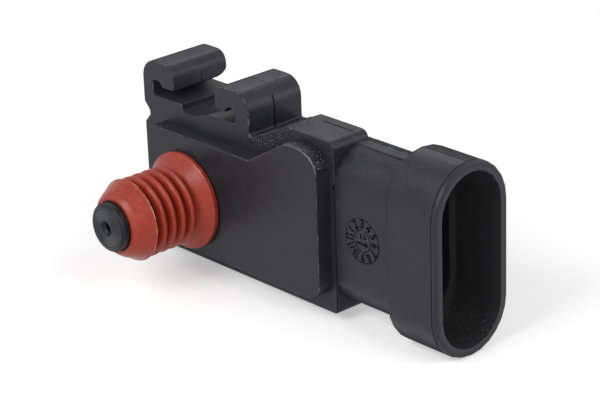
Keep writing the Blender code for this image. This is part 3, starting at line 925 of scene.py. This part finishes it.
def dialMarks():
    # The arrow and the two small marks above it, sunk into the neck's flat side
    look = dialLook
    shape = bmesh.new()
    right, up = look["middle"]
    for outline in look["marks"]:
        ends = [[origin + Vector((right + u * mm, y, up + v * mm)) for u, v in outline]
                for y in (look["face"] - look["lead"], look["face"] + look["depth"])]
        addPrism(shape, *ends)
    return linkObject("dialTool", meshFrom("dialShell", shape))


def makeHousing():
    look = housingLook
    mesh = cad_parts["housing"].data.copy()
    mesh.name = "housingMoulding"
    softenEdges(mesh, look)
    piece = keepMesh("housingMoulding", mesh, blackMoulding)
    ridges = [flashRidge(look, *line) for line in look["flashLines"]]
    ridges += [boxTool("strip", *look["neckStrip"]), boreRing(look), gateRing(look)]
    carve(piece, "UNION", ridges)
    lip = [(y * mm, z * mm) for y, z in look["lipOutline"]]
    front = look["mouth"] - look["rimGrooveBack"]
    start, end = [look["neckStart"] + at for at in look["neckGroove"]]
    grooves = [
        hookSlot(look),
        prismTool("lipEnd", lip, 0, *look["lipSpan"]),
        turnedFace(look),
        ovalGroove(front - look["rimGrooveWidth"], front, look["shroudHalf"], look["rimGrooveDepth"]),
        ovalGroove(start, end, look["neckHalf"], look["neckGrooveDepth"]),
        boxTool("slot", *look["crownSlot"]),
        boxTool("slot", *look["lipSlot"]),
    ]
    grooves += [dialLine(dialLook["outer"]), dialLine(dialLook["inner"])]
    grooves += [dialNumber(k) for k in range(1, 13)]
    grooves.append(dialMarks())
    carve(piece, "DIFFERENCE", grooves)
    shadeByAngle(piece.data, look["shadeAngle"])
    keepFlats(piece)
    return piece


housing = makeHousing()
print("housing", len(housing.data.polygons), "faces")


# Port seal: one closed sleeve whose radius follows a rule along the port

sealLook = {
    "Around": 128,
    "Along": 260,
    "Bore Radius": 3.88 * mm,
    "Back": 0.3 * mm,
    "Front": 13.9 * mm,
    "Root Radius": 4.45 * mm,
    "Rib Height": 1.68 * mm,
    "Rib Pitch": 1.78 * mm,
    "First Rib": 3.7 * mm,
    "Rib Count": 4.0,
    "Nose Back": 10.85 * mm,
    "Nose Length": 2.45 * mm,
    "Nose Radius": 6.2 * mm,
    "Crest": 0.08 * mm,
    "Front Radius": 4.9 * mm,
    "Lip Radius": 4.3 * mm,
    "Flange Radius": 7.5 * mm,
    "Flange Edge": 0.6 * mm,
    "Flange End": 2.75 * mm,
}
# How the grid's rows are shared out along the section, and the forms of the ribs and the nose
sealRule = {
    "outwardShare": 0.9,
    "homeStart": 0.904,
    "homeShare": 0.092,
    "homeFrom": 0.902,
    "closingFrom": 0.998,
    "swellCut": 0.36,
    "swellRest": 0.64,
    "swellPower": 0.42,
    "taperPower": 1.12,
    "crestShare": 0.07,
    "flangeBlend": 0.35 * mm,
    "weld": 0.002 * mm,
    "shadeAngle": 38,
}


def sealRadius(tree, given, outerAt):
    # The outer radius at each place along the port
    rule = sealRule

    def calc(operation, *values, clamp=False):
        return mathNode(tree, operation, *values, clamp=clamp)

    # Ribs: a rounded swell once every pitch, between the first and the last
    phase = calc("DIVIDE", calc("SUBTRACT", outerAt, given["First Rib"]), given["Rib Pitch"])
    wave = calc("ABSOLUTE", calc("COSINE", calc("MULTIPLY", phase, math.pi)))
    lifted = calc("DIVIDE", calc("SUBTRACT", wave, rule["swellCut"]), rule["swellRest"], clamp=True)
    swell = calc("POWER", lifted, rule["swellPower"])
    active = calc("MULTIPLY", calc("GREATER_THAN", phase, -0.5),
                  calc("LESS_THAN", phase, calc("SUBTRACT", given["Rib Count"], 0.5)))
    ribs = calc("MULTIPLY", calc("MULTIPLY", swell, active), given["Rib Height"])
    core = calc("ADD", given["Root Radius"], ribs)

    # Nose: widest at its back edge, then a cone to the front and a lip
    noseAt = calc("DIVIDE", calc("SUBTRACT", outerAt, given["Nose Back"]), given["Nose Length"])
    taper = calc("POWER", calc("MAXIMUM", noseAt, 0.0), rule["taperPower"], clamp=True)
    fall = calc("MULTIPLY", taper, calc("SUBTRACT", given["Nose Radius"], given["Front Radius"]))
    lipStart = calc("ADD", given["Nose Back"], given["Nose Length"])
    lipRun = calc("SUBTRACT", given["Front"], lipStart)
    lipAt = calc("DIVIDE", calc("SUBTRACT", outerAt, lipStart), lipRun, clamp=True)
    lipFall = calc("MULTIPLY", lipAt, calc("SUBTRACT", given["Front Radius"], given["Lip Radius"]))
    crest = calc("MULTIPLY", calc("LESS_THAN", noseAt, rule["crestShare"]), given["Crest"])
    nose = calc("ADD", calc("SUBTRACT", calc("SUBTRACT", given["Nose Radius"], fall), lipFall), crest)
    onNose = calc("GREATER_THAN", noseAt, 0.0)
    noseOrCore = calc("ADD", calc("MULTIPLY", nose, onNose),
                      calc("MULTIPLY", core, calc("SUBTRACT", 1.0, onNose)))

    # Flange: a short rim on the pad, then a cone down to the root
    flangeRun = calc("SUBTRACT", given["Flange End"], given["Flange Edge"])
    rimEnd = calc("ADD", given["Back"], given["Flange Edge"])
    flangeAt = calc("DIVIDE", calc("SUBTRACT", outerAt, rimEnd), flangeRun)
    drop = calc("MULTIPLY", calc("MAXIMUM", flangeAt, 0.0),
                calc("SUBTRACT", given["Flange Radius"], given["Root Radius"]))
    flange = calc("SUBTRACT", given["Flange Radius"], drop)
    joined = calc("SMOOTH_MAX", noseOrCore, flange, rule["flangeBlend"])
    return calc("MINIMUM", joined, given["Flange Radius"])


def makeSealTree(look):
    rule = sealRule
    tree = bpy.data.node_groups.new("ribbedSleeve", "GeometryNodeTree")
    tree.interface.new_socket(name="Geometry", in_out="OUTPUT", socket_type="NodeSocketGeometry")
    for name, value in look.items():
        kind = "NodeSocketInt" if isinstance(value, int) else "NodeSocketFloat"
        tree.interface.new_socket(name=name, in_out="INPUT", socket_type=kind).default_value = value
    tree.interface.new_socket(name="Material", in_out="INPUT", socket_type="NodeSocketMaterial")
    given = addNode(tree, "NodeGroupInput").outputs
    out = addNode(tree, "NodeGroupOutput").inputs
    grid = addNode(tree, "GeometryNodeMeshGrid")
    for name, value in (("Size X", 1.0), ("Size Y", 1.0), ("Vertices X", given["Around"]),
                        ("Vertices Y", given["Along"])):
        give(tree, grid.inputs[name], value)
    place = splitParts(tree, addNode(tree, "GeometryNodeInputPosition").outputs[0])
    turn = times(tree, mathNode(tree, "ADD", place["X"], 0.5), 2 * math.pi)
    run = mathNode(tree, "ADD", place["Y"], 0.5)

    # The first nine tenths of the run go out along the outside, the rest comes back along the bore
    outward = mathNode(tree, "DIVIDE", run, rule["outwardShare"], clamp=True)
    behind = mathNode(tree, "SUBTRACT", run, rule["homeStart"])
    homeward = mathNode(tree, "DIVIDE", behind, rule["homeShare"], clamp=True)
    length = mathNode(tree, "SUBTRACT", given["Front"], given["Back"])
    outerAt = mathNode(tree, "MULTIPLY_ADD", outward, length, given["Back"])
    innerAt = mathNode(tree, "SUBTRACT", given["Front"], times(tree, homeward, length))
    inside = above(tree, run, rule["homeFrom"])
    outside = mathNode(tree, "SUBTRACT", 1.0, inside)
    closing = above(tree, run, rule["closingFrom"])
    inBore = mathNode(tree, "SUBTRACT", inside, closing)
    atEnd = times(tree, given["Flange Radius"], closing)
    onOutside = times(tree, sealRadius(tree, given, outerAt), outside)
    radius = mathNode(tree, "ADD", times(tree, given["Bore Radius"], inBore),
                      mathNode(tree, "ADD", atEnd, onOutside))
    along = mathNode(tree, "ADD", times(tree, innerAt, inside), times(tree, outerAt, outside))
    point = addNode(tree, "ShaderNodeCombineXYZ")
    feed(tree, times(tree, radius, mathNode(tree, "COSINE", turn)), point.inputs["X"])
    feed(tree, times(tree, along, -1.0), point.inputs["Y"])
    feed(tree, times(tree, radius, mathNode(tree, "SINE", turn)), point.inputs["Z"])

    bend = addNode(tree, "GeometryNodeSetPosition")
    weld = addNode(tree, "GeometryNodeMergeByDistance")
    plain = addNode(tree, "GeometryNodeRealizeInstances")
    dressed = addNode(tree, "GeometryNodeSetMaterial")
    feed(tree, grid.outputs["Mesh"], bend.inputs["Geometry"])
    feed(tree, point.outputs[0], bend.inputs["Position"])
    weld.inputs["Distance"].default_value = rule["weld"]
    for first, second in ((bend, weld), (weld, plain), (plain, dressed)):
        feed(tree, first.outputs["Geometry"], second.inputs["Geometry"])
    feed(tree, given["Material"], dressed.inputs["Material"])
    feed(tree, dressed.outputs["Geometry"], out["Geometry"])
    return tree


def growNodes(name, tree, values):
    # Put a tree on an empty mesh, set its inputs by identifier and keep the result as a plain mesh
    piece = linkObject(name, bpy.data.meshes.new(name))
    growth = piece.modifiers.new(name, "NODES")
    growth.node_group = tree
    for item in tree.interface.items_tree:
        if item.in_out == "INPUT" and item.name in values:
            growth[item.identifier] = values[item.name]
    applyAll(piece)
    return piece


def settle(piece, where):
    # Move the mesh to its place and turn its faces outwards; the object stays at the origin
    shape = bmesh.new()
    shape.from_mesh(piece.data)
    bmesh.ops.translate(shape, vec=where, verts=shape.verts)
    bmesh.ops.recalc_face_normals(shape, faces=shape.faces)
    openEdges = sum(1 for e in shape.edges if len(e.link_faces) != 2)
    shape.to_mesh(piece.data)
    shape.free()
    print(piece.name, "has", openEdges, "open edges")


seal = growNodes("ribbedSeal", makeSealTree(sealLook), {**sealLook, "Material": sealRubber})
settle(seal, portAxis)
shadeByAngle(seal.data, sealRule["shadeAngle"])
print("seal", len(seal.data.polygons), "faces")


# Finishes of the pieces that are kept as they are

inside = {
    "rear_cover": makePlain("coverMoulding", (0.017, 0.017, 0.018), (0.026, 0.026, 0.027), 0.5,
                            grain=4200.0, depth=0.012),
    "cover_adhesive": makePlain("coverAdhesive", (0.2, 0.2, 0.21), (0.28, 0.28, 0.29), 0.5),
    "circuit_board": makePlain("aluminaBoard", (0.72, 0.71, 0.67), (0.8, 0.79, 0.75), 0.55),
    "board_adhesive": makePlain("boardAdhesive", (0.22, 0.23, 0.24), (0.3, 0.31, 0.32), 0.5),
    "cell_cup": makePlain("steelCup", (0.5, 0.5, 0.52), (0.62, 0.62, 0.64), 0.28, metallic=1.0),
    "cell_seal": makePlain("clearSeal", (0.6, 0.62, 0.64), (0.7, 0.72, 0.74), 0.3),
    "glass_pedestal": makePlain("cellGlass", (0.7, 0.78, 0.76), (0.8, 0.86, 0.84), 0.08, transmission=0.6),
    "pressure_die": makePlain("siliconDie", (0.16, 0.17, 0.22), (0.24, 0.25, 0.3), 0.12, metallic=0.6),
    "protective_gel": makePlain("softGel", (0.62, 0.64, 0.66), (0.72, 0.74, 0.76), 0.2),
    "signal_chip": makePlain("chipEpoxy", (0.012, 0.012, 0.013), (0.02, 0.02, 0.021), 0.38),
}
capacitorClay = makePlain("capacitorClay", (0.36, 0.25, 0.15), (0.46, 0.33, 0.2), 0.38)
resistorGlaze = makePlain("resistorGlaze", (0.013, 0.013, 0.014), (0.022, 0.022, 0.023), 0.3)
tinnedBrass = makePlain("tinnedBrass", (0.62, 0.6, 0.55), (0.74, 0.72, 0.67), 0.26, metallic=1.0)
strapMetal = makePlain("strapMetal", (0.66, 0.66, 0.67), (0.76, 0.76, 0.77), 0.24, metallic=1.0)
for k in range(1, 5):
    inside[f"capacitor_{k}"] = capacitorClay
    inside[f"resistor_{k}"] = resistorGlaze
for k in range(1, 4):
    inside[f"blade_terminal_{k}"] = tinnedBrass
    inside[f"terminal_strap_{k}"] = strapMetal
for name, finish in inside.items():
    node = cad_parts[name]
    node.data.materials.clear()
    node.data.materials.append(finish)
print("finishes set on", len(inside), "pieces")


# What each new piece stands for

for piece, node, slot in ((housing, "housing", "black_plastic"), (seal, "port_seal", "red_silicone")):
    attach(piece, "root")
    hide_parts(node)


# Floor, light and camera

stageLook = {
    "floorHalf": 3.0,
    "floorColour": (0.86, 0.86, 0.86),
    "floorRoughness": 0.9,
    "floorGloss": 0.1,
    "floorLift": 0.40,
    "worldLight": 0.2,
    "lampDistance": 0.6,
    "lampSize": 0.3,
}
# Name, azimuth, elevation and power of the soft lamps
lamps = (
    ("frontLight", 0, 38, 1.9),
    ("leftLight", -45, 45, 0.28),
    ("rightLight", 90, 40, 1.0),
    ("backRightLight", 135, 15, 0.7),
    ("backLeftLight", -135, 38, 0.25),
    ("nearLight", 45, 15, 0.5),
)
# Solved from the photo's outline
cameraLook = {
    "azimuth": 47.8614,
    "elevation": 22.6252,
    "roll": 2.0101,
    "lens": 143.135,
    "sensor": 36.0,
    "near": 0.01,
    "far": 10.0,
    "place": (0.267742, -0.208569, 0.147018),
}


def outwards(azimuth, elevation):
    a = math.radians(azimuth)
    e = math.radians(elevation)
    return Vector((math.sin(a) * math.cos(e), -math.cos(a) * math.cos(e), math.sin(e)))


def seenDirectly(tree):
    # One for camera, mirrored and transmitted rays, zero for the light that falls on things
    rays = addNode(tree, "ShaderNodeLightPath").outputs
    return largest(tree, rays["Is Camera Ray"], rays["Is Glossy Ray"], rays["Is Transmission Ray"])


def makeFloor():
    look = stageLook
    half = look["floorHalf"]
    mesh = bpy.data.meshes.new("floor")
    corners = [(x, y, cadLow.z) for x, y in ((-half, -half), (half, -half), (half, half), (-half, half))]
    mesh.from_pydata(corners, [], [(0, 1, 2, 3)])
    made = bpy.data.materials.new("floorPaper")
    made.use_nodes = True
    tree = made.node_tree
    shader = tree.nodes["Principled BSDF"].inputs
    shader["Base Color"].default_value = (*look["floorColour"], 1.0)
    shader["Roughness"].default_value = look["floorRoughness"]
    shader["Specular IOR Level"].default_value = look["floorGloss"]
    shader["Emission Color"].default_value = (1.0, 1.0, 1.0, 1.0)
    feed(tree, times(tree, seenDirectly(tree), look["floorLift"]), shader["Emission Strength"])
    keepMesh("floor", mesh, made)


def makeWorld():
    world = bpy.data.worlds.new("studio")
    world.use_nodes = True
    tree = world.node_tree
    dim = stageLook["worldLight"]
    background = tree.nodes["Background"].inputs
    background["Color"].default_value = (1.0, 1.0, 1.0, 1.0)
    feed(tree, mathNode(tree, "MULTIPLY_ADD", seenDirectly(tree), 1.0 - dim, dim), background["Strength"])
    bpy.context.scene.world = world


def addLamp(name, azimuth, elevation, power):
    # A square soft light that faces the middle of the part
    back = outwards(azimuth, elevation)
    light = bpy.data.lights.new(name, "AREA")
    light.shape = "SQUARE"
    light.size = stageLook["lampSize"]
    light.energy = power
    lamp = linkObject(name, light)
    lamp.rotation_mode = "QUATERNION"
    lamp.rotation_quaternion = (-back).to_track_quat("-Z", "Y")
    lamp.location = (cadLow + cadHigh) / 2 + back * stageLook["lampDistance"]


def makeCamera():
    look = cameraLook
    a = math.radians(look["azimuth"])
    r = math.radians(look["roll"])
    back = outwards(look["azimuth"], look["elevation"])
    right = Vector((math.cos(a), math.sin(a), 0.0))
    up = back.cross(right)
    across = right * math.cos(r) - up * math.sin(r)
    upright = right * math.sin(r) + up * math.cos(r)
    lens = bpy.data.cameras.new("camera")
    lens.sensor_width = look["sensor"]
    lens.lens = look["lens"]
    lens.clip_start = look["near"]
    lens.clip_end = look["far"]
    camera = linkObject("camera", lens)
    facing = Matrix((across, upright, back)).transposed().to_4x4()
    camera.matrix_world = Matrix.Translation(origin + Vector(look["place"])) @ facing
    bpy.context.scene.camera = camera


makeFloor()
makeWorld()
for lamp in lamps:
    addLamp(*lamp)
makeCamera()
bpy.context.scene.view_settings.view_transform = "Standard"
print("stage ready")
